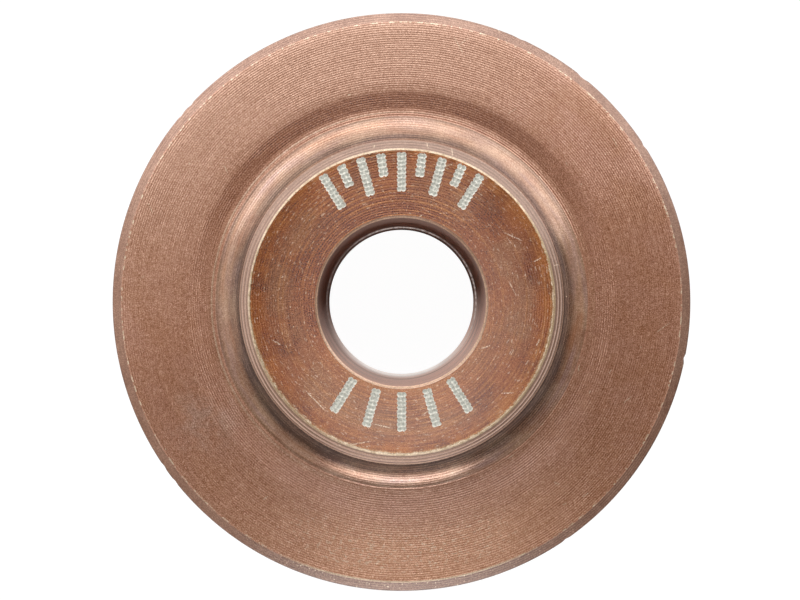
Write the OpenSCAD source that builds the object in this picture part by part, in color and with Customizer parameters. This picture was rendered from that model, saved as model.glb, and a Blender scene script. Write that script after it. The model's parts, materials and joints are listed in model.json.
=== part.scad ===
// Cutter wheel of a pipe cutter, turned from one piece of steel: a thick hub with a bore for its pin,
// and round the middle of the hub a thin rim that tapers to the cutting edge.
// Millimetres. The origin is the middle of the bore, in the plane of the cutting edge. +Z is the bore's
// axis and points out of the marked face. Both sides are alike, but the marks are on the +Z face only.

/* [Wheel] */
// Diameter across the cutting edge
wheel_d = 32; // [28:0.5:40]

/* [Hub] */
// Width of the hub, from face to face
hub_w = 19; // [12:0.5:26]
// Diameter of the hub
hub_d = 16.6; // [15.2:0.2:18]
// Width of the chamfer round each hub face, along the radius
hub_cham_w = 0.5; // [0.3:0.02:0.8]
// Depth of that chamfer, along the bore
hub_cham_h = 0.5; // [0.3:0.02:0.8]
// Number of fine turned grooves across that chamfer
turned_n = 3; // [2:1:5]
// Depth of those grooves
turned_depth = 0.025; // [0.01:0.005:0.04]

/* [Bore] */
// Diameter of the bore, which runs on the cutter's pin
bore_d = 8.6; // [6:0.1:9.6]
// Width of the small chamfer at each mouth of the bore
bore_cham = 0.12; // [0.06:0.02:0.24]

/* [Root] */
// Radius of the hollow between the hub and the rim
root_r = 2.45; // [1.6:0.05:2.9]
// Width of the fine groove that ends that hollow, along the radius
stop_w = 0.1; // [0.06:0.02:0.16]
// Depth of that groove
stop_depth = 0.02; // [0.01:0.005:0.04]
// Slope of the shoulder between that groove and the flat land, in degrees
shoulder_a = 12; // [6:1:20]
// Width of the hollow's lowest part and the shoulder together, from the groove's inner side to the land
shoulder_w = 0.44; // [0.3:0.02:0.7]

/* [Rim] */
// Width of the flat land between the shoulder and the taper
land_w = 0.94; // [0.5:0.02:1.4]
// Thickness of the rim across the flat land
land_t = 1.54; // [1.1:0.02:2]
// Thickness of the rim where the taper meets the ground bevel
taper_t = 0.46; // [0.3:0.02:0.8]
// Width of the ground bevel, along the radius
bevel_w = 0.52; // [0.3:0.02:0.9]
// Width of the narrow flat on the cutting edge, across the rim
edge_t = 0.08; // [0.04:0.01:0.2]

/* [Marks] */
// Number of marks in the upper row, long and short in turn
upper_n = 9; // [5:2:13]
// Number of marks in the lower row, all long
lower_n = 5; // [3:2:7]
// Angle between the first and the last mark of a row, in degrees
row_span = 64; // [40:2:90]
// Width of a mark
mark_w = 0.46; // [0.2:0.02:0.5]
// Length of a long mark
mark_long = 2; // [1.4:0.1:2.1]
// Length of a short mark
mark_short = 1.2; // [0.8:0.1:1.8]
// Distance from the upper row to the rim of the hub face, and from the lower row to the bore's mouth
mark_gap = 0.16; // [0.08:0.02:0.3]
// Depth of a mark
mark_depth = 0.05; // [0.02:0.01:0.1]

/* [Hidden] */
// Sides of a drawn circle
$fn = 180;
// Amount by which a cut runs past the face that it opens
past = 0.2;
// Directions of the middle of each row of marks, in degrees from +X
upper_dir = 90;
lower_dir = -90;

// Radii and heights of one half of the section, from the bore to the cutting edge
wheel_r = wheel_d / 2;
hub_r = hub_d / 2;
bore_r = bore_d / 2;
face_z = hub_w / 2;
face_r = hub_r - hub_cham_w;
mouth_r = bore_r + bore_cham;
land_z = land_t / 2;
hollow_r = hub_r + root_r;
root_end_r = hollow_r - root_r * sin(shoulder_a);
root_end_z = land_z + shoulder_w * tan(shoulder_a);
hollow_z = root_end_z + root_r * cos(shoulder_a);
land_in_r = root_end_r + shoulder_w;
land_out_r = land_in_r + land_w;
bevel_r = wheel_r - bevel_w;

// Height of the shoulder's slope at radius r
function shoulder_z(r) = land_z + (land_in_r - r) * tan(shoulder_a);

// Point at share t of the hub chamfer, sunk by depth d square to it
function chamfer_point(t, d) =
    let (len = norm([hub_cham_w, hub_cham_h]))
    [face_r + t * hub_cham_w - d * hub_cham_h / len,
     face_z - t * hub_cham_h - d * hub_cham_w / len];

// Chamfer of the hub from the face outwards: a crest, then a groove and a crest for each turned groove
chamfer_points = concat(
    [chamfer_point(0, 0)],
    [for (i = [1 : turned_n], half = [0, 1])
        half == 0 ? chamfer_point((i - 0.5) / turned_n, turned_depth) : chamfer_point(i / turned_n, 0)]);

// Fine groove where the hollow's tool stopped, then the land, the taper and the ground bevel
rim_points = [
    [root_end_r, root_end_z],
    [root_end_r + stop_w / 2, shoulder_z(root_end_r + stop_w / 2) - stop_depth],
    [root_end_r + stop_w, shoulder_z(root_end_r + stop_w)],
    [land_in_r, land_z],
    [land_out_r, land_z],
    [bevel_r, taper_t / 2],
    [wheel_r, edge_t / 2]];

// Upper half of the section, in radius and height, before the hollow is cut
upper_points = concat(
    [[bore_r, face_z - bore_cham], [mouth_r, face_z]],
    chamfer_points,
    [[hub_r, hollow_z]],
    rim_points);

// The same points for the lower half, in the order that closes the outline
lower_points = [for (i = [len(upper_points) - 1 : -1 : 0]) [upper_points[i][0], -upper_points[i][1]]];

// Section of the wheel on one side of its axis
module wheel_section() {
    difference() {
        polygon(concat(upper_points, lower_points));
        for (side = [-1, 1]) {
            translate([hollow_r, side * hollow_z]) circle(r = root_r);
        }
    }
}

// Pocket of one mark, along +X from radius r_in, with round ends
module mark_pocket(r_in, length) {
    end_r = mark_w / 2;
    translate([0, 0, face_z - mark_depth]) {
        linear_extrude(mark_depth + past) {
            translate([r_in + end_r, -end_r]) square([length - mark_w, mark_w]);
            translate([r_in + end_r, 0]) circle(r = end_r);
            translate([r_in + length - end_r, 0]) circle(r = end_r);
        }
    }
}

// Row of marks that line up at their outer ends, just inside the rim of the hub face
module upper_row() {
    for (i = [0 : upper_n - 1]) {
        length = i % 2 == 0 ? mark_long : mark_short;
        rotate(upper_dir + row_span * (i / (upper_n - 1) - 0.5))
            mark_pocket(face_r - mark_gap - length, length);
    }
}

// Row of marks that line up at their inner ends, just outside the bore's mouth
module lower_row() {
    for (i = [0 : lower_n - 1]) {
        rotate(lower_dir + row_span * (i / (lower_n - 1) - 0.5))
            mark_pocket(mouth_r + mark_gap, mark_long);
    }
}

module cutter_wheel() {
    color([0.66, 0.46, 0.36])
    difference() {
        rotate_extrude() wheel_section();
        upper_row();
        lower_row();
    }
}

cutter_wheel();
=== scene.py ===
"""Looks of the cutter wheel: one turned steel piece with a bronze-brown coating, seen along its bore.

Sizes are in millimetres and are turned into metres where vertices, lamps and the camera are made.
Directions round the wheel are in degrees, anticlockwise from +X, as seen from the marked face.
"""

import json
import math
import random

import bmesh
import bpy
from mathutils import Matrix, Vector, geometry


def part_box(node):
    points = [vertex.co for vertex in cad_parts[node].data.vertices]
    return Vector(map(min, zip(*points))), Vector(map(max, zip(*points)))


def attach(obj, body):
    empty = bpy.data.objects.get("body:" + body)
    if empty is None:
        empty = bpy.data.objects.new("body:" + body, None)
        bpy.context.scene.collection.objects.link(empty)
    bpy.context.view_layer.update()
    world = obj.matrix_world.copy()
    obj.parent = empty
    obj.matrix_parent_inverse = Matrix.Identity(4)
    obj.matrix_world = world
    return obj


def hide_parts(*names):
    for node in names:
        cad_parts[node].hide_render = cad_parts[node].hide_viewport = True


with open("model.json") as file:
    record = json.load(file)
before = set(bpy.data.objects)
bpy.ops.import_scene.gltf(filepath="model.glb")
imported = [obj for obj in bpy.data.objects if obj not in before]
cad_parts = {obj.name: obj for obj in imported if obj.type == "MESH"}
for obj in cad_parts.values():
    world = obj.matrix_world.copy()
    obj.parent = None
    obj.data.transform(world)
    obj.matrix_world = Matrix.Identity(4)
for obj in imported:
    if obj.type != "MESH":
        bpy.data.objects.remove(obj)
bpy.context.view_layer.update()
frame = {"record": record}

# One millimetre and one micrometre, in metres
MM = 0.001
UM = 0.000001
NODE = "cutter_wheel"

# Overall sizes, from the frame
box_low, box_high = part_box(NODE)
WHEEL_R = (box_high[0] - box_low[0]) / 2 / MM
FACE_Z = box_high[2] / MM
FLOOR_Z = box_low[2] / MM
BORE_R = next(m for m in frame["record"]["mounts"] if m["name"] == "bore")["dims"]["r_mm"]

# Section of the wheel
BORE_CHAM = 0.12
RIM_R = 0.06
HUB_R = 8.3
HUB_CHAM = 0.5
TURNED_N = 3
TURNED_DEPTH = 0.025
ROOT_R = 2.45
STOP_W = 0.1
STOP_DEPTH = 0.02
SHOULDER_A = math.radians(12)
SHOULDER_W = 0.44
LAND_W = 0.94
LAND_Z = 0.77
BEVEL_W = 0.52
BEVEL_Z = 0.23
EDGE_Z = 0.04
CREST_W = 0.08
CREST_DROP = 0.004
MOUTH_R = BORE_R + BORE_CHAM
FACE_R = HUB_R - HUB_CHAM
HOLLOW_R = HUB_R + ROOT_R
ROOT_END_R = HOLLOW_R - ROOT_R * math.sin(SHOULDER_A)
LAND_IN_R = ROOT_END_R + SHOULDER_W
LAND_OUT_R = LAND_IN_R + LAND_W
BEVEL_R = WHEEL_R - BEVEL_W

# Steps round the wheel, and steps of the section's round parts
STEPS = 384
RIM_STEPS = 5
HOLLOW_STEPS = 32
# Distance in metres within which vertices are joined, and the angle above which an edge stays sharp
JOIN_DIST = 1e-7
SHARP_ANGLE = math.radians(14)

# Brightness of the surroundings overhead, and along the horizon
SKY = 0.05
HORIZON = 0.75
# Brightness of the floor's own glow, as the camera sees it, and of the space behind it
FLOOR_GLOW = 0.97
BACKDROP = 1.0

# Marks on the hub face: rows of dots, drawn as shallow craters
UPPER_N = 9
LOWER_N = 5
MARK_W = 0.46
MARK_LONG = 2.0
MARK_SHORT = 1.2
MARK_GAP = 0.16
MARK_DEPTH = 0.05
ROW_SPAN = 64
DOT_R = 0.135
DOT_PITCH = 0.215
# Pitch of the fine net of vertices in and round the marks
GRID = 0.04
# Dot share of a vertex that is outside the marks
NO_DOT = 9.0

# Pitch of the lines that the turning tool left
LINE_PITCH = 0.125
# Index of refraction and metal share of the coating
COATING_IOR = 2.2
COATING_METAL = 0.35

# Colours, as screen values
CREAM = (246, 222, 190)
TAPER_BASE, TAPER_PATCH = (206, 149, 121), (199, 141, 108)
SHOULDER_BASE, SHOULDER_PATCH = (196, 141, 110), (184, 128, 98)
LAND_SHADE, BLADE_BROWN = (153, 96, 64), (172, 114, 82)
BLADE_TAN, BLADE_GOLD_HIGHLIGHT, SMUDGE = (208, 156, 127), (221, 160, 121), (214, 186, 170)
BEVEL_BASE, BEVEL_PATCH, BEVEL_DARK = (164, 119, 94), (150, 104, 79), (110, 76, 58)
HOLLOW_BASE, HOLLOW_PATCH, HOLLOW_MAUVE = (188, 145, 114), (174, 127, 99), (166, 128, 122)
MOUTH_BASE, MOUTH_BROWN_SHADE = (218, 180, 149), (170, 130, 102)
STAIN, GRIME_AND_SHADE = (150, 88, 48), (46, 29, 23)
FACE_BASE, FACE_DEEP, FACE_HAZE = (154, 81, 31), (126, 61, 19), (156, 102, 64)
FACE_GOLD, FACE_RING = (187, 106, 30), (188, 120, 59)
RIM_CREAM, RIM_OLIVE = (244, 218, 186), (170, 136, 84)
CHAMFER_BASE, CHAMFER_CREST_HIGHLIGHT, CHAMFER_GROOVE_SHADE = (172, 131, 107), (197, 157, 133), (115, 79, 63)
WALL_BASE, WALL_PATCH = (172, 123, 94), (160, 111, 83)
BORE_DARK, BORE_PALE_LIT, BORE_BARE_GLINT = (156, 132, 123), (255, 196, 168), (250, 236, 228)
DOT_MIDDLE, DOT_PALE, DOT_RIM, DOT_DARK = (184, 184, 172), (214, 212, 198), (246, 242, 230), (150, 146, 134)

# Camera: distance above the cutting edge's plane, offsets to the left and up, focal length and sensor width
CAMERA_Z = 117
CAMERA_X = -0.083
CAMERA_Y = 0.111
CAMERA_LENS = 95.04
CAMERA_SENSOR = 36
# Half width of the floor, in metres
FLOOR_HALF = 3.0

# Softboxes round the wheel, strongest at the top: direction, and brightness of the middle and of the low part
SOFTBOXES = [
    (0, 0.27, 0.1), (45, 2.3, 1.85), (90, 2.9, 1.6), (135, 2.7, 1.45), (180, 0.65, 0.6), (225, 0.35, 0.12),
    (315, 0.13, 0.16),
]

# Scratches: x and y of the middle, direction and length
FACE_SCRATCHES = [
    (5.67, 3.34, -24, 1.1), (6.93, 2.16, 27, 0.5), (2.32, 6.95, 17, 0.7), (-6.36, -2.05, -30, 0.55),
    (-2.1, -7.17, 10, 1.1), (5.39, -4.63, 2, 0.7), (4.3, -2.28, 20, 0.6), (6.95, -2.05, 60, 0.4),
    (-2.95, 5.2, -73, 0.55), (0.92, 4.36, 30, 0.35), (-4.4, -5.0, -45, 1.6), (-1.0, -6.3, -14, 1.2),
]
CHAMFER_SCRATCHES = [
    (1.31, 8.03, 95, 0.25), (2.58, 7.66, 96, 0.45), (-1.4, 7.95, 80, 0.2), (7.9, 1.9, 10, 0.3),
]
BLADE_SCRATCHES = [
    (9.75, -3.63, 88, 0.4), (10.36, -4.96, 75, 0.2), (11.5, -3.8, 60, 0.3), (12.45, -5.4, 40, 0.65),
    (8.55, -10.0, -22, 0.4), (9.0, -11.15, 30, 0.25), (13.2, -2.5, 10, 0.14), (-2.9, 11.4, 20, 0.28),
    (9.1, 7.6, 120, 0.3), (-7.5, -10.8, 35, 0.4),
]

# Zones of the surface, each with a material of its own
ZONES = [
    "face", "marks", "rim", "chamfer", "wall", "hollow", "shoulder", "land", "taper", "crest", "bevel",
    "bore", "mouth",
]

# Nicks in the cutting edge: direction, half width along the edge and depth
NICKS = [
    (66.0, 0.18, 0.05), (51.1, 0.20, 0.09), (42.6, 0.12, 0.05), (32.8, 0.16, 0.05), (136.8, 0.22, 0.05),
    (139.4, 0.14, 0.06), (214.4, 0.16, 0.05), (218.8, 0.14, 0.07), (-11.2, 0.22, 0.07), (-69.0, 0.10, 0.04),
    (-55.3, 0.10, 0.04),
]


def arc(centre, radius, start, end, steps):
    """Points on an arc, both ends included. Angles in radians."""
    angles = [start + (end - start) * i / steps for i in range(steps + 1)]
    return [(centre[0] + radius * math.cos(a), centre[1] + radius * math.sin(a)) for a in angles]


def straight(a, b, steps):
    """Points from a to b, without b."""
    return [(a[0] + (b[0] - a[0]) * i / steps, a[1] + (b[1] - a[1]) * i / steps) for i in range(steps)]


def chamfer_points():
    """The hub chamfer from the face outwards, a groove between each two crests."""
    points = []
    slant = math.sqrt(0.5)
    for i in range(1, 2 * TURNED_N + 1):
        share = i / (2 * TURNED_N)
        depth = TURNED_DEPTH * slant if i % 2 else 0
        points.append((FACE_R + share * HUB_CHAM - depth, FACE_Z - share * HUB_CHAM - depth))
    return points


def upper_profile():
    """Zones of the section's upper half, from the hub face outwards: (zone, points of radius and height)."""
    root_end_z = LAND_Z + SHOULDER_W * math.tan(SHOULDER_A)
    hollow_z = root_end_z + ROOT_R * math.cos(SHOULDER_A)
    stop_end = (ROOT_END_R + STOP_W, root_end_z - STOP_W * math.tan(SHOULDER_A))
    stop_low = (ROOT_END_R + STOP_W / 2, root_end_z - STOP_W / 2 * math.tan(SHOULDER_A) - STOP_DEPTH)
    rim = arc((FACE_R - RIM_R, FACE_Z - RIM_R), RIM_R, math.pi / 2, math.pi / 4, RIM_STEPS)
    chamfer = chamfer_points()
    taper_slope = (LAND_Z - BEVEL_Z) / (BEVEL_R - LAND_OUT_R)
    bevel_slope = (BEVEL_Z - EDGE_Z) / BEVEL_W
    crest = [(BEVEL_R - CREST_W / 2, BEVEL_Z + taper_slope * CREST_W / 2),
             (BEVEL_R, BEVEL_Z - CREST_DROP),
             (BEVEL_R + CREST_W / 2, BEVEL_Z - bevel_slope * CREST_W / 2)]
    hollow = arc((HOLLOW_R, hollow_z), ROOT_R, math.pi, 1.5 * math.pi - SHOULDER_A, HOLLOW_STEPS)
    return [
        ("rim", rim),
        ("chamfer", [rim[-1]] + chamfer),
        ("wall", straight(chamfer[-1], hollow[0], 4) + [hollow[0]]),
        ("hollow", hollow),
        ("shoulder", [hollow[-1], stop_low, stop_end, (LAND_IN_R, LAND_Z)]),
        ("land", [(LAND_IN_R, LAND_Z), (LAND_OUT_R, LAND_Z)]),
        ("taper", straight((LAND_OUT_R, LAND_Z), crest[0], 6) + [crest[0]]),
        ("crest", crest),
        ("bevel", straight(crest[-1], (WHEEL_R, EDGE_Z), 4) + [(WHEEL_R, EDGE_Z)]),
    ]


def nick_depth(direction):
    """How far the cutting edge is pushed in at this direction, in radians."""
    depth = 0.0
    for at, half, deep in NICKS:
        off = (direction - math.radians(at) + math.pi) % (2 * math.pi) - math.pi
        share = abs(off) * WHEEL_R / half
        if share < 1:
            depth = max(depth, deep * (1 - share * share))
    return depth


def ring_points(radius, height, steps):
    """One ring of vertices in metres, nicked where it lies on the cutting edge."""
    near_edge = max(0.0, (radius - BEVEL_R) / BEVEL_W)
    points = []
    for i in range(steps):
        a = 2 * math.pi * i / steps
        r = radius - nick_depth(a) * near_edge ** 2
        points.append((r * math.cos(a) * MM, r * math.sin(a) * MM, height * MM))
    return points


def add_ring(mesh, radius, height):
    """One ring of vertices in the mesh."""
    return [mesh.verts.new(p) for p in ring_points(radius, height, STEPS)]


def add_band(mesh, ring_a, ring_b, zone):
    """Quads between two rings of vertices, as one zone."""
    for i in range(STEPS):
        j = (i + 1) % STEPS
        face = mesh.faces.new((ring_a[i], ring_b[i], ring_b[j], ring_a[j]))
        face.material_index = ZONES.index(zone)
        face.smooth = True


def mark_places():
    """Direction, inner radius and length of every mark."""
    places = []
    for i in range(UPPER_N):
        length = MARK_SHORT if i % 2 else MARK_LONG
        places.append((90 + ROW_SPAN * (i / (UPPER_N - 1) - 0.5), FACE_R - MARK_GAP - length, length))
    for i in range(LOWER_N):
        places.append((-90 + ROW_SPAN * (i / (LOWER_N - 1) - 0.5), MOUTH_R + MARK_GAP, MARK_LONG))
    return places


def mark_mesh_points():
    """Points in and round the marks: (x, y, drop, dot share), all in millimetres.

    The dot share runs from 0 at a dot's middle to 1 at its rim, and is above 1 outside the dots."""
    chance = random.Random(11)
    points = []
    for direction, inner_r, length in mark_places():
        rows = round((length - 2 * DOT_R) / DOT_PITCH) + 1
        pitch = (length - 2 * DOT_R) / (rows - 1)
        dots = [(inner_r + DOT_R + i * pitch + chance.uniform(-0.015, 0.015),
                 side * (MARK_W / 2 - DOT_R) * 1.06 + chance.uniform(-0.012, 0.012))
                for i in range(rows) for side in (-1, 1)]
        a = math.radians(direction)
        reach_u = round((length + 4 * GRID) / GRID)
        reach_v = round((MARK_W + 4 * GRID) / GRID)
        for iu in range(reach_u + 1):
            for iv in range(reach_v + 1):
                u = inner_r - 2 * GRID + iu * GRID
                v = (iv - reach_v / 2) * GRID
                share = min(math.hypot(u - du, v - dv) for du, dv in dots) / DOT_R
                drop = MARK_DEPTH * max(0.0, 1 - share ** 3) if share < 1 else 0.0
                x = u * math.cos(a) - v * math.sin(a)
                y = u * math.sin(a) + v * math.cos(a)
                points.append((x, y, drop, share))
    return points


def add_marked_face(mesh, shares):
    """The front hub face: flat, with a fine net in the marks. Fills shares with vertex to dot share."""
    rings = [ring_points(r, FACE_Z, STEPS) for r in (MOUTH_R, FACE_R - RIM_R)]
    flat = [Vector((p[0] / MM, p[1] / MM)) for ring in rings for p in ring]
    edges = [(k * STEPS + i, k * STEPS + (i + 1) % STEPS) for k in (0, 1) for i in range(STEPS)]
    dotted = mark_mesh_points()
    points = flat + [Vector((x, y)) for x, y, _drop, _share in dotted]
    found = geometry.delaunay_2d_cdt(points, edges, [], 0, 1e-5)
    places, faces, sources = found[0], found[2], found[3]
    verts = []
    for place, source in zip(places, sources):
        k = source[0] - len(flat) if source else -1
        drop, share = (dotted[k][2], dotted[k][3]) if k >= 0 else (0.0, NO_DOT)
        vert = mesh.verts.new((place[0] * MM, place[1] * MM, (FACE_Z - drop) * MM))
        shares[vert] = share
        verts.append(vert)
    for corners in faces:
        middle = sum((places[c] for c in corners), Vector((0, 0))) / len(corners)
        if middle.length < MOUTH_R:
            continue
        face = mesh.faces.new([verts[c] for c in corners])
        marked = sum(shares[verts[c]] for c in corners) / len(corners) < 1.02
        face.material_index = ZONES.index("marks" if marked else "face")
        face.smooth = True


def build_wheel():
    """The whole wheel as one closed mesh, one material index for each zone."""
    mesh = bmesh.new()
    shares = {}
    for side in (1, -1):
        last = None
        for zone, points in upper_profile():
            for radius, height in points:
                ring = add_ring(mesh, radius, side * height)
                if last is not None and last[0] == zone:
                    add_band(mesh, last[1], ring, zone)
                last = (zone, ring)
    edge_up, edge_down = add_ring(mesh, WHEEL_R, EDGE_Z), add_ring(mesh, WHEEL_R, -EDGE_Z)
    add_band(mesh, edge_up, edge_down, "bevel")
    bore = [(BORE_R, (FACE_Z - BORE_CHAM) * s) for s in (1, 0.5, 0, -0.5, -1)]
    rings = [add_ring(mesh, r, z) for r, z in [(MOUTH_R, FACE_Z), *bore, (MOUTH_R, -FACE_Z)]]
    for k in range(len(rings) - 1):
        add_band(mesh, rings[k], rings[k + 1], "mouth" if k in (0, len(rings) - 2) else "bore")
    add_band(mesh, rings[-1], add_ring(mesh, FACE_R - RIM_R, -FACE_Z), "face")
    add_marked_face(mesh, shares)
    kept = {tuple(round(c, 8) for c in v.co): s for v, s in shares.items()}
    bmesh.ops.remove_doubles(mesh, verts=mesh.verts, dist=JOIN_DIST)
    bmesh.ops.recalc_face_normals(mesh, faces=mesh.faces)
    data = bpy.data.meshes.new("wheel")
    mesh.to_mesh(data)
    mesh.free()
    attribute = data.attributes.new("dot_share", "FLOAT", "POINT")
    for i, vertex in enumerate(data.vertices):
        attribute.data[i].value = kept.get(tuple(round(c, 8) for c in vertex.co), NO_DOT)
    data.set_sharp_from_angle(angle=SHARP_ANGLE)
    wheel = bpy.data.objects.new("wheel", data)
    bpy.context.scene.collection.objects.link(wheel)
    return wheel


class Net:
    """A material's nodes. Positions are the object's own, in millimetres."""

    def __init__(self, name):
        self.material = bpy.data.materials.new(name)
        self.material.use_nodes = True
        self.tree = self.material.node_tree
        self.shader = self.tree.nodes["Principled BSDF"]
        coords = self.add("ShaderNodeTexCoord")
        scaled = self.add("ShaderNodeVectorMath", operation="SCALE")
        self.tree.links.new(coords.outputs["Object"], scaled.inputs[0])
        scaled.inputs["Scale"].default_value = 1 / MM
        self.place = scaled.outputs[0]
        parts = self.add("ShaderNodeSeparateXYZ")
        self.tree.links.new(self.place, parts.inputs[0])
        self.x, self.y, self.z = parts.outputs
        flat = self.vector(self.x, self.y, 0)
        length = self.add("ShaderNodeVectorMath", operation="LENGTH")
        self.tree.links.new(flat, length.inputs[0])
        self.radius = length.outputs["Value"]
        self.turn = self.math("ARCTAN2", self.y, self.x)
        unit = self.add("ShaderNodeVectorMath", operation="NORMALIZE")
        self.tree.links.new(flat, unit.inputs[0])
        around = self.add("ShaderNodeSeparateXYZ")
        self.tree.links.new(unit.outputs[0], around.inputs[0])
        self.cos, self.sin = around.outputs[0], around.outputs[1]

    def add(self, kind, **settings):
        node = self.tree.nodes.new(kind)
        for key, value in settings.items():
            setattr(node, key, value)
        return node

    def put(self, socket, value):
        """Links an output to the socket, or sets a number or colour on it."""
        if isinstance(value, bpy.types.NodeSocket):
            self.tree.links.new(value, socket)
        else:
            socket.default_value = value

    def math(self, operation, a, b=0.0, clamp=False):
        node = self.add("ShaderNodeMath", operation=operation, use_clamp=clamp)
        self.put(node.inputs[0], a)
        self.put(node.inputs[1], b)
        return node.outputs[0]

    def apart(self, a, b):
        """Distance between two values."""
        return self.math("ABSOLUTE", self.math("SUBTRACT", a, b))

    def vector(self, x, y, z):
        node = self.add("ShaderNodeCombineXYZ")
        for socket, value in zip(node.inputs, (x, y, z)):
            self.put(socket, value)
        return node.outputs[0]

    def noise(self, scale, detail=2.0, rough=0.5, vector=None):
        node = self.add("ShaderNodeTexNoise")
        self.tree.links.new(vector or self.place, node.inputs["Vector"])
        self.put(node.inputs["Scale"], scale)
        self.put(node.inputs["Detail"], detail)
        self.put(node.inputs["Roughness"], rough)
        return node.outputs["Fac"]

    def around_noise(self, across, along, detail=2.0, shift=0.0):
        """Noise drawn out along circles: 'across' per millimetre of radius, 'along' round the circle."""
        r = self.math("ADD", self.math("MULTIPLY", self.radius, across), shift)
        x = self.math("MULTIPLY", self.cos, along)
        y = self.math("MULTIPLY", self.sin, along)
        return self.noise(1.0, detail, 0.5, self.vector(r, x, y))

    def span(self, value, low, high, to_low=0.0, to_high=1.0, smooth=False):
        """The value taken from low..high to to_low..to_high, and held at its ends."""
        node = self.add("ShaderNodeMapRange", clamp=True)
        if smooth:
            node.interpolation_type = "SMOOTHSTEP"
        for key, number in (("Value", value), ("From Min", low), ("From Max", high),
                            ("To Min", to_low), ("To Max", to_high)):
            self.put(node.inputs[key], number)
        return node.outputs[0]

    def mix(self, share, a, b):
        """Colour a, with the given share of colour b."""
        node = self.add("ShaderNodeMix", data_type="RGBA")
        self.put(node.inputs[0], share)
        self.put(node.inputs[6], a)
        self.put(node.inputs[7], b)
        return node.outputs[2]

    def total(self, *terms):
        """Sum of (factor, value) pairs, each value being centred on a half."""
        result = 0.0
        for factor, value in terms:
            centred = self.math("SUBTRACT", value, 0.5)
            result = self.math("ADD", self.math("MULTIPLY", centred, factor), result)
        return result

    def product(self, *values):
        result = values[0]
        for value in values[1:]:
            result = self.math("MULTIPLY", result, value)
        return result

    def band(self, value, rise, full, fall, gone):
        """1 between full and fall, and 0 below rise and above gone."""
        return self.product(self.span(value, rise, full), self.span(value, gone, fall))

    def toward(self, direction):
        """1 on the side of the wheel that lies in this direction, -1 on the far side."""
        a = math.radians(direction)
        x = self.math("MULTIPLY", self.cos, math.cos(a))
        y = self.math("MULTIPLY", self.sin, math.sin(a))
        return self.math("ADD", x, y)

    def gamma(self, colour, power):
        node = self.add("ShaderNodeGamma")
        self.put(node.inputs["Color"], colour)
        self.put(node.inputs["Gamma"], power)
        return node.outputs[0]

    def shift(self, colour, value, amount):
        """The colour with all its screen values moved by the value times the amount."""
        node = self.add("ShaderNodeVectorMath", operation="ADD")
        self.put(node.inputs[0], self.gamma(colour, 1 / 2.2))
        self.put(node.inputs[1], self.math("MULTIPLY", value, amount / 255))
        floor = self.add("ShaderNodeVectorMath", operation="MAXIMUM")
        self.put(floor.inputs[0], node.outputs[0])
        self.put(floor.inputs[1], (0.05, 0.05, 0.05))
        return self.gamma(floor.outputs[0], 2.2)

    def scaled(self, colour, factor):
        node = self.add("ShaderNodeVectorMath", operation="SCALE")
        self.put(node.inputs[0], colour)
        self.put(node.inputs["Scale"], factor)
        return node.outputs[0]

    def specks(self, share, size=0.05, pitch=0.45, spread=0.0):
        """Small round dots in the given share of cells of the given pitch. spread moves the cells."""
        node = self.add("ShaderNodeTexVoronoi")
        moved = self.add("ShaderNodeVectorMath", operation="ADD")
        self.put(moved.inputs[0], self.place)
        self.put(moved.inputs[1], (spread, spread * 0.7, 0))
        self.put(node.inputs["Vector"], moved.outputs[0])
        self.put(node.inputs["Scale"], 1 / pitch)
        dot = self.span(node.outputs["Distance"], size / pitch, size / pitch * 0.4)
        colour = self.add("ShaderNodeSeparateColor")
        self.put(colour.inputs[0], node.outputs["Color"])
        kept = self.math("LESS_THAN", colour.outputs[0], share)
        return self.product(dot, kept, self.span(colour.outputs[1], 0, 1, 0.4, 1))

    def along_across(self, direction):
        """Distances along and across a line in this direction, from the origin."""
        a = math.radians(direction)
        cos, sin = math.cos(a), math.sin(a)
        along = self.math("ADD", self.math("MULTIPLY", self.x, cos), self.math("MULTIPLY", self.y, sin))
        across = self.math("SUBTRACT", self.math("MULTIPLY", self.y, cos), self.math("MULTIPLY", self.x, sin))
        return along, across

    def scratches(self, direction, share, length=0.7, width=0.035):
        """Short fine scratches at random places, all in one direction."""
        along, across = self.along_across(direction)
        cell = 2.2
        node = self.add("ShaderNodeTexVoronoi")
        squeezed = self.vector(self.math("DIVIDE", along, cell), self.math("DIVIDE", across, cell), 0)
        self.put(node.inputs["Vector"], squeezed)
        self.put(node.inputs["Scale"], 1.0)
        spot = self.add("ShaderNodeSeparateXYZ")
        self.put(spot.inputs[0], node.outputs["Position"])
        colour = self.add("ShaderNodeSeparateColor")
        self.put(colour.inputs[0], node.outputs["Color"])
        off_along = self.apart(along, self.math("MULTIPLY", spot.outputs[0], cell))
        off_across = self.apart(across, self.math("MULTIPLY", spot.outputs[1], cell))
        reach = self.math("MULTIPLY", colour.outputs[1], length)
        inside = self.span(self.math("SUBTRACT", off_along, reach), 0.05, -0.1)
        return self.product(inside, self.span(off_across, width, width * 0.3),
                            self.math("LESS_THAN", colour.outputs[0], share))

    def scratch(self, x, y, direction, length, width=0.04):
        """One straight scratch round the place x, y."""
        along, across = self.along_across(direction)
        a = math.radians(direction)
        middle_along = x * math.cos(a) + y * math.sin(a)
        middle_across = y * math.cos(a) - x * math.sin(a)
        inside = self.span(self.apart(along, middle_along), length / 2, length * 0.3)
        thin = self.span(self.apart(across, middle_across), width, width * 0.3)
        return self.product(inside, thin)

    def scratched(self, colour, places, share):
        """The colour with single pale scratches at these places."""
        for place in places:
            colour = self.mix(self.product(self.scratch(*place), share), colour, srgb(*CREAM))
        return colour

    def lines(self, pitch=LINE_PITCH, wander=0.5):
        """Height from -1 to 1 of the spiral line that a turning tool leaves."""
        drift = self.math("MULTIPLY", self.around_noise(0.9, 0.8), wander * 2 * math.pi)
        phase = self.math("ADD", self.math("MULTIPLY", self.radius, 2 * math.pi / pitch), self.turn)
        return self.math("SINE", self.math("ADD", phase, drift))

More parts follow.
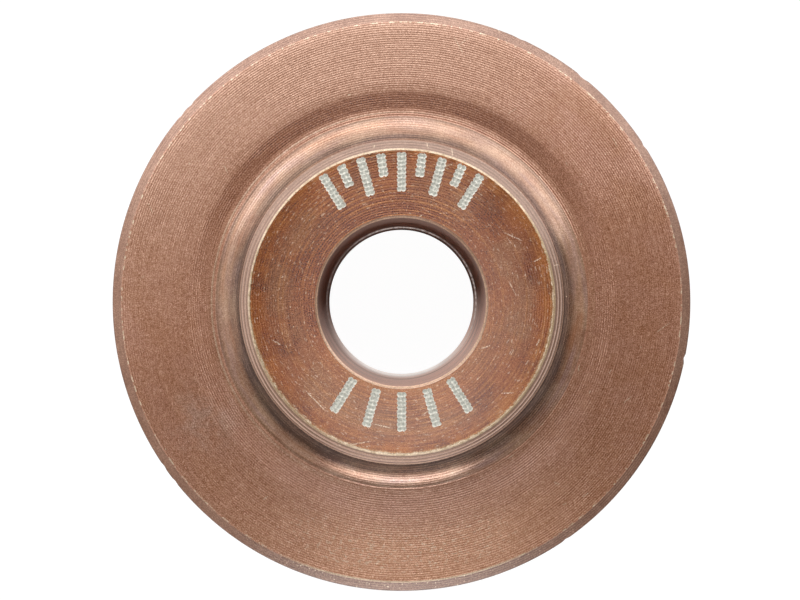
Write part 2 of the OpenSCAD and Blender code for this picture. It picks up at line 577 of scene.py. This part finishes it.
    def grain(self):
        """Fine mottling, centred on 0 and mostly within 1 either way."""
        mottling = self.total((5.0, self.noise(18.0, 0.0)), (1.6, self.noise(8.0, 0.0)),
                              (1.0, self.noise(3.0, 1.0)))
        return self.math("MAXIMUM", mottling, -1.1)

    def bump(self, height):
        """Normal from a height in micrometres."""
        node = self.add("ShaderNodeBump")
        self.put(node.inputs["Strength"], 1.0)
        self.put(node.inputs["Distance"], UM)
        self.put(node.inputs["Height"], height)
        return node.outputs[0]

    def finish(self, colour, height, rough, metal, ior=COATING_IOR):
        """Joins the colour, the height in micrometres and plain numbers to the shader."""
        self.put(self.shader.inputs["Base Color"], colour)
        self.put(self.shader.inputs["Metallic"], metal)
        self.put(self.shader.inputs["Roughness"], rough)
        self.put(self.shader.inputs["IOR"], ior)
        self.put(self.shader.inputs["Normal"], self.bump(height))
        return self.material


def srgb(r, g, b):
    """Linear colour from screen values of 0 to 255."""
    def linear(c):
        c /= 255
        return c / 12.92 if c <= 0.04045 else ((c + 0.055) / 1.055) ** 2.4
    return (linear(r), linear(g), linear(b), 1.0)


def coated_steel(name, base, patch, paint, contrast=28, line_um=1.8, grain_um=5.4, rough=0.2, specks=0.02,
                 scratches=0.05, ridges=0.8, lit_side=(0, 0.0)):
    """Turned steel under a thin brown coating.

    base and patch are its two colours, and paint adds what is special to one zone: it takes the net, the
    colour and the grain, gives a colour, and may change the net's metal share. contrast is the strength of
    the mottling in screen values. line_um and grain_um are heights in micrometres. specks and scratches are
    shares of cells that have one. The last argument paints light on one side: it is the direction in which the
    colour is brightest, and the share by which it is brighter there."""
    net = Net(name)
    net.metal = COATING_METAL
    grain = net.grain()
    colour = net.mix(net.span(net.noise(0.5, 3.0, 0.6), 0.38, 0.62), srgb(*base), srgb(*patch))
    # Painted light: the colour is brighter toward one side.
    colour = net.scaled(colour, net.math("ADD", net.product(net.toward(lit_side[0]), lit_side[1]), 1.0))
    colour = paint(net, colour, grain)
    streak = net.around_noise(8.0, 7.0, 1.0, 3.0)
    lines = net.lines()
    broken = net.span(net.around_noise(2.6, 4.5, 2.0, 13.0), 0.35, 0.65, 0.45, 1.55)
    # Painted light and shade along the turned lines, strongest toward 115 and 295 degrees.
    ridge_light = net.span(net.math("ABSOLUTE", net.toward(115)), 0.4, 0.95, 0.0, ridges)
    ridged = net.product(lines, broken, ridge_light)
    uneven = net.total((0.88, net.math("ADD", grain, 0.5)), (1.2, streak),
                       (1.0, net.math("ADD", ridged, 0.5)))
    colour = net.shift(colour, uneven, contrast)
    colour = net.mix(net.specks(specks), colour, srgb(*CREAM))
    if scratches:
        worn = net.math("ADD", net.scratches(35, scratches), net.scratches(118, scratches))
        colour = net.mix(net.product(worn, net.span(grain, -0.9, 0.8, 0, 0.8)), colour, srgb(*CREAM))
    coarse = net.span(net.toward(90), -1.0, 1.0, 1.35, 0.5)
    height = net.math("ADD", net.product(lines, line_um), net.product(grain, coarse, grain_um / 6))
    return net.finish(colour, height, rough, net.metal)


def face_paint(net, colour, grain):
    """Haze, a golden tint at the rim of the hub face, turned rings, strokes, scratches and the worn rim.

    It is barer metal toward the upper left and toward its rim."""
    net.metal = net.math("MAXIMUM", net.span(net.toward(125), -0.9, 0.5, 0.25, 0.5),
                         net.span(net.radius, 6.6, 7.6, 0, 0.35))
    haze = net.product(net.span(net.noise(0.4, 3.0, 0.6), 0.42, 0.6),
                       net.band(net.radius, 4.8, 5.4, 6.5, 7.2))
    colour = net.mix(net.product(haze, 0.8), colour, srgb(*FACE_HAZE))
    pale = net.product(net.span(net.radius, 5.6, 4.5), net.span(net.toward(-70), -0.1, 0.9))
    colour = net.mix(net.product(pale, 0.35), colour, srgb(*FACE_RING))
    deep = net.product(net.span(net.radius, 6.2, 5.0), net.span(net.toward(115), -0.3, 0.8))
    colour = net.mix(net.product(deep, 0.75), colour, srgb(*FACE_DEEP))
    golden = net.product(net.span(net.radius, 6.7, 7.6), net.span(net.noise(0.9, 2.0), 0.35, 0.6))
    colour = net.mix(net.product(golden, 0.7), colour, srgb(*FACE_GOLD))
    rings = net.around_noise(4.2, 0.35, 1.0, 5.0)
    colour = net.mix(net.span(rings, 0.56, 0.75, 0, 0.5), colour, srgb(*FACE_RING))
    colour = net.mix(net.span(rings, 0.42, 0.28, 0, 0.4), colour, srgb(*FACE_DEEP))
    # Painted highlights along the turned rings, strongest at the top and bottom.
    ring_highlights = net.product(net.span(net.lines(0.24, 0.8), 0.35, 1.0),
                       net.span(net.around_noise(1.6, 2.5), 0.36, 0.54),
                       net.span(net.math("ABSOLUTE", net.toward(105)), 0.2, 0.8, 0, 0.75))
    colour = net.mix(ring_highlights, colour, srgb(*FACE_RING))
    strokes = net.around_noise(14.0, 26.0, 1.0, 11.0)
    colour = net.mix(net.span(strokes, 0.64, 0.76, 0, 0.5), colour, srgb(*CREAM))
    more_specks = net.product(net.specks(0.5, 0.045, 0.4, 7.0), net.span(net.toward(200), 0.5, 0.95))
    colour = net.mix(more_specks, colour, srgb(*CREAM))
    colour = net.scratched(colour, FACE_SCRATCHES, net.span(grain, -0.9, 0.5, 0.1, 0.8))
    wide = net.span(net.toward(-80), -0.55, 0.1, 0.0, 0.19)
    edge = FACE_R - RIM_R
    ragged = net.math("ADD", net.radius, net.total((0.3, net.noise(5.0, 2.0, 0.7))))
    worn = net.span(ragged, net.math("SUBTRACT", edge + 0.02, wide), edge + 0.03)
    colour = net.mix(net.product(worn, 0.75), colour, srgb(*RIM_OLIVE))
    return net.mix(net.span(worn, 0.45, 0.9, 0, 0.9), colour, srgb(*RIM_CREAM))


def rim_paint(net, colour, grain):
    """Olive stains in the worn cream of the hub's rim, most of them at the sides and below them."""
    sides = net.product(net.span(net.math("ABSOLUTE", net.toward(90)), 0.98, 0.7),
                        net.span(net.toward(-60), -0.5, 0.3))
    stained = net.math("ADD", net.noise(4.0, 2.0, 0.7), net.product(sides, 0.2))
    return net.mix(net.span(stained, 0.45, 0.65, 0.1, 0.85), colour, srgb(*RIM_OLIVE))


def mouth_paint(net, colour, grain):
    """The bore's mouth is worn pale on its inner strip, and browner with painted shade toward the hub face."""
    ragged = net.math("ADD", net.radius, net.total((0.06, net.noise(5.0, 2.0, 0.7))))
    # Browner colour with painted shade on the outer part of the mouth, weaker at the bottom.
    dark = net.product(net.span(ragged, BORE_R + 0.05, BORE_R + 0.08),
                       net.span(net.toward(-85), 0.2, 1.0, 0.9, 0.5))
    return net.mix(dark, colour, srgb(*MOUTH_BROWN_SHADE))


def chamfer_paint(net, colour, grain):
    """Painted light on crests and shade in grooves, weaker at the top, and bright nicks on the outer crest.

    The inner edge is worn like the rim beside it."""
    turns = net.math("MULTIPLY", net.math("SUBTRACT", net.radius, FACE_R), 2 * math.pi * TURNED_N / HUB_CHAM)
    crest = net.math("COSINE", turns)
    # Painted highlights on the turned crests and painted shade in the grooves, weaker at the top.
    ridge_shade = net.span(net.toward(-90), -0.8, 0.1, 0.35, 1.0)
    colour = net.mix(net.product(net.span(crest, 0.1, 1.0, 0, 0.65), ridge_shade), colour, srgb(*CHAMFER_CREST_HIGHLIGHT))
    colour = net.mix(net.product(net.span(crest, -0.2, -1.0, 0, 0.75), ridge_shade), colour, srgb(*CHAMFER_GROOVE_SHADE))
    ragged = net.math("ADD", net.radius, net.total((0.04, net.noise(5.0, 2.0, 0.7))))
    worn = net.span(ragged, FACE_R + 0.06, FACE_R + 0.02, 0, 0.85)
    colour = net.mix(worn, colour, rim_paint(net, srgb(*RIM_CREAM), grain))
    colour = net.scratched(colour, CHAMFER_SCRATCHES, 0.6)
    nicked = net.product(net.specks(0.3, 0.06, 0.5), net.span(net.radius, HUB_R - 0.1, HUB_R - 0.02))
    return net.mix(nicked, colour, srgb(*CREAM))


def wall_paint(net, colour, grain):
    """Turned rings round the hub, and dirt with painted shade that grows toward the hollow."""
    height = net.math("ABSOLUTE", net.z)
    rings = net.noise(1.0, 2.0, 0.5, net.vector(net.product(net.z, 4.0), net.cos, net.sin))
    colour = net.shift(colour, net.total((1.0, rings)), 60)
    # Dirt and painted shade, darkest in the crease with the hollow.
    dirt_and_shade = net.span(net.math("ADD", height, net.total((2.4, rings))), 5.4, 3.2, 0, 0.85)
    return net.mix(dirt_and_shade, colour, srgb(*GRIME_AND_SHADE))


def hollow_paint(net, colour, grain):
    """Rusty stains on the lower side, golden and mauve smears, and dark dirt with painted shade beside the
    hub.

    The dirt and painted shade are widest on the lower side, and a thin strip of them runs on above. A fine
    dark line ends the hollow."""
    stain = net.product(net.span(net.noise(0.7, 2.0), 0.4, 0.62), net.span(net.toward(-60), -0.3, 0.5))
    colour = net.mix(net.product(stain, 0.5), colour, srgb(*STAIN))
    rings = net.around_noise(5.0, 0.7, 3.0, 21.0)
    colour = net.shift(colour, net.total((1.0, rings)), 70)
    smear = net.around_noise(2.5, 3.0, 2.0, 9.0)
    colour = net.mix(net.span(smear, 0.5, 0.75, 0, 0.35), colour, srgb(*FACE_GOLD))
    lower = net.span(net.toward(-90), -0.75, 0.1)
    upper = net.span(net.toward(-90), 0.1, -0.75)
    colour = net.mix(net.span(smear, 0.48, 0.3, 0, 0.45), colour, srgb(*HOLLOW_MAUVE))
    # Dark dirt with painted shade beside the hub, widest on the lower side, and a thinner strip of it on the
    # upper side.
    outer = net.math("ADD", net.span(net.toward(-88), 0.0, 0.7, 9.6, 10.1),
                     net.span(net.toward(-90), 0.9, 1.0, 0, -0.25))
    ragged = net.math("ADD", net.radius, net.total((0.3, smear)))
    depth = net.span(ragged, 8.75, outer, 1.0, 0.0, smooth=True)
    strip = net.band(net.radius, 8.8, 9.0, 9.12, 9.5)
    dark = net.math("ADD", net.product(depth, lower, 0.92), net.product(strip, upper, 0.64))
    net.metal = net.math("ADD", net.product(dark, 0.55), net.metal)
    line = net.band(net.radius, 10.06, 10.12, 10.18, 10.24)
    colour = net.mix(net.product(line, net.span(smear, 0.4, 0.6, 0, 0.3)), colour, srgb(*GRIME_AND_SHADE))
    return net.mix(dark, colour, srgb(*GRIME_AND_SHADE))


def stained(net, colour, grain):
    """The colour with rusty stains near the hollow, on its lower side, and with single scratches."""
    stain = net.product(net.span(net.noise(0.6, 2.0), 0.42, 0.65), net.span(net.radius, 12.5, 10.5),
                        net.span(net.toward(-50), -0.2, 0.7))
    colour = net.mix(net.product(stain, 0.15), colour, srgb(*STAIN))
    return net.scratched(colour, BLADE_SCRATCHES, net.span(grain, -0.9, 0.5, 0.2, 0.9))


def shoulder_paint(net, colour, grain):
    """Stains, and a thin worn line round the left half."""
    worn = net.product(net.band(net.radius, 10.38, 10.43, 10.48, 10.53), net.span(net.toward(160), -0.2, 0.7))
    return net.mix(net.product(worn, 0.3), stained(net, colour, grain), srgb(*CREAM))


def blade_paint(net, colour, grain):
    """Golden at the bottom, tan at the upper left, and browner near the land, on the right and lower left.

    The upper side of the land has painted shade, and the gold at the bottom is a painted highlight. Painted
    glints lie at the bottom, and specks and a pale smudge on the left."""
    inner = net.span(net.radius, 13.2, 10.9, 0, 0.35)
    ruddy = net.math("ADD", net.span(net.toward(-10), 0.6, 0.95), net.span(net.toward(222), 0.75, 0.95))
    brown = net.math("MAXIMUM", inner, net.math("MULTIPLY", ruddy, 0.42))
    # Golden, with a painted highlight, toward the bottom of the blade.
    golden = net.product(net.span(net.toward(-90), 0.55, 0.97), net.span(net.radius, 11.4, 13.4, 0.1, 0.85))
    colour = net.mix(golden, colour, srgb(*BLADE_GOLD_HIGHLIGHT))
    colour = net.mix(net.span(net.toward(118), 0.3, 0.85), colour, srgb(*BLADE_TAN))
    colour = net.mix(brown, stained(net, colour, grain), srgb(*BLADE_BROWN))
    # Painted shade on the upper side of the land.
    land = net.product(net.span(net.radius, LAND_OUT_R + 0.1, LAND_OUT_R - 0.14),
                       net.span(net.toward(95), 0.1, 0.85, 0.0, 0.95))
    colour = net.mix(land, colour, srgb(*LAND_SHADE))
    # Painted glints at the bottom of the blade.
    painted_glints = net.product(net.span(net.around_noise(9.0, 60.0, 1.0, 17.0), 0.56, 0.72),
                         net.span(net.toward(-90), 0.86, 0.97), net.band(net.radius, 11.8, 13.2, 14.6, 15.2))
    colour = net.mix(net.product(painted_glints, 0.5), colour, srgb(*CREAM))
    dots = net.product(net.specks(0.45, 0.035, 0.36, 3.0), net.span(net.toward(195), 0.5, 0.95),
                       net.span(net.radius, 13.5, 11.5))
    colour = net.mix(net.product(dots, 0.7), colour, srgb(*CREAM))
    off = net.add("ShaderNodeVectorMath", operation="DISTANCE")
    net.put(off.inputs[0], net.place)
    net.put(off.inputs[1], (-10.9, -6.3, 0.6))
    smudge = net.product(net.span(off.outputs["Value"], 2.6, 0.6),
                         net.span(net.noise(0.9, 3.0, 0.6), 0.4, 0.62))
    return net.mix(net.product(smudge, 0.3), colour, srgb(*SMUDGE))


def crest_paint(net, colour, grain):
    """The crest of the bevel is worn pale in short stretches, with a painted highlight in a long stretch at
    the bottom.
    """
    worn = net.span(net.around_noise(3.0, 70.0, 3.0, 2.0), 0.5, 0.62, 0, 0.8)
    # Painted highlight along the crest at the bottom.
    bottom_highlight = net.span(net.toward(-88), 0.88, 0.96, 0, 0.75)
    return net.mix(net.math("MAXIMUM", worn, bottom_highlight), colour, srgb(*CREAM))


def bevel_paint(net, colour, grain):
    """The bevel's outermost strip is dark and uneven with painted shade, and its bottom is dark with worn
    specks.
    """
    bottom = net.span(net.toward(-90), 0.8, 0.95)
    colour = net.mix(net.product(bottom, 0.65), colour, srgb(*BEVEL_DARK))
    colour = net.mix(net.product(bottom, net.specks(0.6, 0.05, 0.2, 5.0)), colour, srgb(*CREAM))
    # Painted shade on the outermost strip of the edge.
    ragged = net.math("ADD", net.radius, net.total((0.08, net.noise(5.0, 2.0, 0.6))))
    return net.mix(net.span(ragged, WHEEL_R - 0.06, WHEEL_R, 0, 0.35), colour, srgb(*GRIME_AND_SHADE))


def bore_material():
    """Dull bore with lines round it, darker above with painted shade, paler and barer below with painted
    light.

    A ring on its far half and the far end of its lower side show bare metal with painted glints."""
    net = Net("steel_bore")
    grain = net.grain()
    streak = net.noise(1.0, 2.0, 0.5, net.vector(net.product(net.z, 3.5), net.cos, net.sin))
    # Painted light on the paler, barer lower side, and painted shade on the darker upper side.
    lit_and_bare_side = net.span(net.math("ADD", net.toward(-84), net.total((0.5, streak))), -0.1, 0.7)
    colour = net.mix(lit_and_bare_side, srgb(*BORE_DARK), srgb(*BORE_PALE_LIT))
    colour = net.mix(net.span(streak, 0.52, 0.4, 0, 0.5), colour, srgb(*BORE_DARK))
    # Painted light, brighter toward the upper right.
    colour = net.scaled(colour, net.math("ADD", net.product(net.toward(40), 0.2), 1.0))
    scored = net.product(net.band(net.z, -1.9, -1.2, -0.5, 0.3), net.span(net.toward(-90), 0.2, 0.8))
    # Bare metal with a painted glint, on a ring of the far half and on the far end of the lower side.
    facing = net.math("ADD", net.span(net.toward(92), 0.75, 0.98, 0.25, 0.75),
                      net.span(net.toward(-5), 0.5, 1.0, 0, 0.4))
    ring = net.product(net.band(net.z, -6.6, -5.4, -4.2, -3.2), facing,
                       net.span(net.around_noise(0.0, 22.0, 2.0), 0.35, 0.6, 0.4, 1.0))
    end = net.product(net.span(net.z, -1.5, -6.0), net.span(net.toward(-92), 0.3, 0.9))
    bare = net.math("MAXIMUM", ring, end)
    metal = net.math("MAXIMUM", net.product(lit_and_bare_side, 0.8), bare)
    colour = net.mix(bare, colour, srgb(*BORE_BARE_GLINT))
    colour = net.mix(net.product(scored, 0.5), colour, srgb(*STAIN))
    colour = net.shift(colour, grain, 10)
    net.shader.inputs["Specular IOR Level"].default_value = 0.0
    return net.finish(colour, grain, 0.45, metal, 1.5)


def marks_material():
    """Bare pale metal of the dots: dark with painted shade in the middle of each, bright with a painted
    highlight on its rim.
    """
    net = Net("etched_dots")
    share = net.add("ShaderNodeAttribute", attribute_name="dot_share").outputs["Fac"]
    spots = net.noise(9.0, 2.0, 0.7)
    # Painted shade in the middle of each dot and a painted highlight on its rim.
    colour = net.mix(net.span(share, 0.3, 0.75), srgb(*DOT_MIDDLE), srgb(*DOT_PALE))
    colour = net.mix(net.span(share, 0.75, 0.98), colour, srgb(*DOT_RIM))
    colour = net.mix(net.span(spots, 0.47, 0.36, 0.0, 0.7), colour, srgb(*DOT_DARK))
    colour = net.mix(net.span(spots, 0.54, 0.64, 0.0, 0.7), colour, srgb(*DOT_RIM))
    return net.finish(colour, net.grain(), 0.55, 0.2)


def zone_materials():
    """One material for each zone."""
    taper = (TAPER_BASE, TAPER_PATCH)
    return {
        "marks": marks_material(),
        "face": coated_steel("steel_face", FACE_BASE, FACE_DEEP, face_paint, contrast=26, line_um=0.7,
                             grain_um=4.2, specks=0.12, scratches=0.14, ridges=0.3, lit_side=(-60, 0.05)),
        "rim": coated_steel("steel_rim", RIM_CREAM, RIM_CREAM, rim_paint, contrast=20, line_um=0.3,
                            grain_um=6.0, rough=0.3),
        "chamfer": coated_steel("steel_chamfer", CHAMFER_BASE, CHAMFER_BASE, chamfer_paint, contrast=14,
                                line_um=0.0, grain_um=4.0, rough=0.3, lit_side=(-110, 0.28)),
        "wall": coated_steel("steel_wall", WALL_BASE, WALL_PATCH, wall_paint, contrast=20, line_um=1.0,
                             grain_um=5.0, rough=0.3, scratches=0.0),
        "hollow": coated_steel("steel_hollow", HOLLOW_BASE, HOLLOW_PATCH, hollow_paint, contrast=20,
                               line_um=1.0, grain_um=5.0, scratches=0.0),
        "shoulder": coated_steel("steel_shoulder", SHOULDER_BASE, SHOULDER_PATCH, shoulder_paint),
        "land": coated_steel("steel_land", *taper, blade_paint, ridges=1.2, lit_side=(120, 0.06)),
        "taper": coated_steel("steel_taper", *taper, blade_paint, lit_side=(120, 0.06)),
        "crest": coated_steel("steel_crest", *taper, crest_paint, contrast=22, line_um=0.3, lit_side=(-80, 0.1)),
        "bevel": coated_steel("steel_bevel", BEVEL_BASE, BEVEL_PATCH, bevel_paint, contrast=20, line_um=0.3,
                              grain_um=8.0, rough=0.34, lit_side=(175, 0.1)),
        "bore": bore_material(),
        "mouth": coated_steel("steel_mouth", MOUTH_BASE, MOUTH_BASE, mouth_paint, contrast=20, line_um=0.3,
                              grain_um=6.0, rough=0.3, lit_side=(-82, 0.2)),
    }


def add_floor():
    """Pale floor under the wheel. It shows as white, and keeps the wheel's shadow."""
    data = bpy.data.meshes.new("floor")
    corners = [(x * FLOOR_HALF, y * FLOOR_HALF, FLOOR_Z * MM) for x, y in ((-1, -1), (1, -1), (1, 1), (-1, 1))]
    data.from_pydata(corners, [], [(0, 1, 2, 3)])
    floor = bpy.data.objects.new("floor", data)
    bpy.context.scene.collection.objects.link(floor)
    material = bpy.data.materials.new("floor_white")
    material.use_nodes = True
    tree = material.node_tree
    tree.nodes.clear()
    path = tree.nodes.new("ShaderNodeLightPath")
    seen = tree.nodes.new("ShaderNodeMath")
    seen.operation = "MAXIMUM"
    seen_all = tree.nodes.new("ShaderNodeMath")
    seen_all.operation = "MAXIMUM"
    lit = tree.nodes.new("ShaderNodeBsdfDiffuse")
    lit.inputs["Color"].default_value = (0.8, 0.8, 0.8, 1)
    faint = tree.nodes.new("ShaderNodeBsdfDiffuse")
    faint.inputs["Color"].default_value = (0.12, 0.12, 0.12, 1)
    glow = tree.nodes.new("ShaderNodeEmission")
    glow.inputs["Strength"].default_value = FLOOR_GLOW
    white = tree.nodes.new("ShaderNodeAddShader")
    either = tree.nodes.new("ShaderNodeMixShader")
    out = tree.nodes.new("ShaderNodeOutputMaterial")
    link = tree.links.new
    link(path.outputs["Is Camera Ray"], seen.inputs[0])
    link(path.outputs["Is Glossy Ray"], seen.inputs[1])
    link(seen.outputs[0], seen_all.inputs[0])
    link(path.outputs["Is Transmission Ray"], seen_all.inputs[1])
    link(glow.outputs[0], white.inputs[0])
    link(faint.outputs[0], white.inputs[1])
    link(seen_all.outputs[0], either.inputs[0])
    link(lit.outputs[0], either.inputs[1])
    link(white.outputs[0], either.inputs[2])
    link(either.outputs[0], out.inputs["Surface"])
    data.materials.append(material)


def panel(name, direction, tilt, half_across, half_up, radiance, distance=0.35):
    """A rectangular lamp that faces the wheel, 'tilt' degrees down from the zenith.

    half_across and half_up are the angles from its middle to its edges, as the wheel sees them, and its
    distance is in metres."""
    lamp = bpy.data.lights.new(name, "AREA")
    lamp.shape = "RECTANGLE"
    lamp.size = 2 * distance * math.tan(math.radians(half_across))
    lamp.size_y = 2 * distance * math.tan(math.radians(half_up))
    lamp.energy = radiance * math.pi * lamp.size * lamp.size_y
    a, t = math.radians(direction), math.radians(tilt)
    place = Vector((math.sin(t) * math.cos(a), math.sin(t) * math.sin(a), math.cos(t))) * distance
    obj = bpy.data.objects.new(name, lamp)
    obj.location = place
    obj.rotation_euler = place.to_track_quat("Z", "Y").to_euler()
    obj.visible_camera = False
    bpy.context.scene.collection.objects.link(obj)


def add_world():
    """Studio surroundings: dim overhead, with a pale band along the horizon, and white to the camera."""
    world = bpy.data.worlds.new("studio")
    bpy.context.scene.world = world
    world.use_nodes = True
    tree = world.node_tree
    coords = tree.nodes.new("ShaderNodeTexCoord")
    parts = tree.nodes.new("ShaderNodeSeparateXYZ")
    level = tree.nodes.new("ShaderNodeMapRange")
    tree.links.new(coords.outputs["Generated"], parts.inputs[0])
    tree.links.new(parts.outputs["Z"], level.inputs["Value"])
    for key, value in (("From Min", 0.03), ("From Max", 0.09), ("To Min", HORIZON), ("To Max", SKY)):
        level.inputs[key].default_value = value
    path = tree.nodes.new("ShaderNodeLightPath")
    seen = tree.nodes.new("ShaderNodeMix")
    tree.links.new(path.outputs["Is Camera Ray"], seen.inputs["Factor"])
    tree.links.new(level.outputs[0], seen.inputs["A"])
    seen.inputs["B"].default_value = BACKDROP
    background = tree.nodes["Background"]
    background.inputs["Color"].default_value = (1, 1, 1, 1)
    tree.links.new(seen.outputs["Result"], background.inputs["Strength"])


def add_lamps():
    """A wide softbox that bends round the top, weak ones round the rest, and small ones at the bottom and by
    the lens."""
    for direction, middle, low in SOFTBOXES:
        panel(f"softbox_{direction}", direction, 50.5, 16.5, 9.5, middle)
        panel(f"softbox_fringe_{direction}", direction, 36.5, 14, 4.5, middle * 0.6)
        panel(f"softbox_low_{direction}", direction, 76, 21.8, 15, low)
    panel("top_panel", 90, 26, 20, 6, 0.7)
    panel("bottom_panel", 270, 53, 16.5, 6, 6.3)
    panel("bottom_fringe", 270, 33, 16.5, 3, 0.9)
    panel("bottom_panel_low", 270, 76, 21.8, 15, 0.55)
    panel("lens_panel", 0, 0, 5, 5, 1.95)
    panel("lens_panel_below", 270, 12.5, 7, 7, 1.5)


def add_camera():
    """Straight above the wheel, at the distance that gives the bore its perspective."""
    camera = bpy.data.objects.new("camera", bpy.data.cameras.new("camera"))
    camera.data.sensor_width = CAMERA_SENSOR
    camera.data.lens = CAMERA_LENS
    camera.data.clip_start = 0.005
    camera.data.clip_end = 20
    camera.location = (CAMERA_X * MM, CAMERA_Y * MM, CAMERA_Z * MM)
    bpy.context.scene.collection.objects.link(camera)
    bpy.context.scene.camera = camera


def main():
    bpy.context.scene.view_settings.view_transform = "Standard"
    wheel = build_wheel()
    materials = zone_materials()
    for zone in ZONES:
        wheel.data.materials.append(materials[zone])
    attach(wheel, "root")
    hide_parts(NODE)
    add_floor()
    add_world()
    add_lamps()
    add_camera()


main()
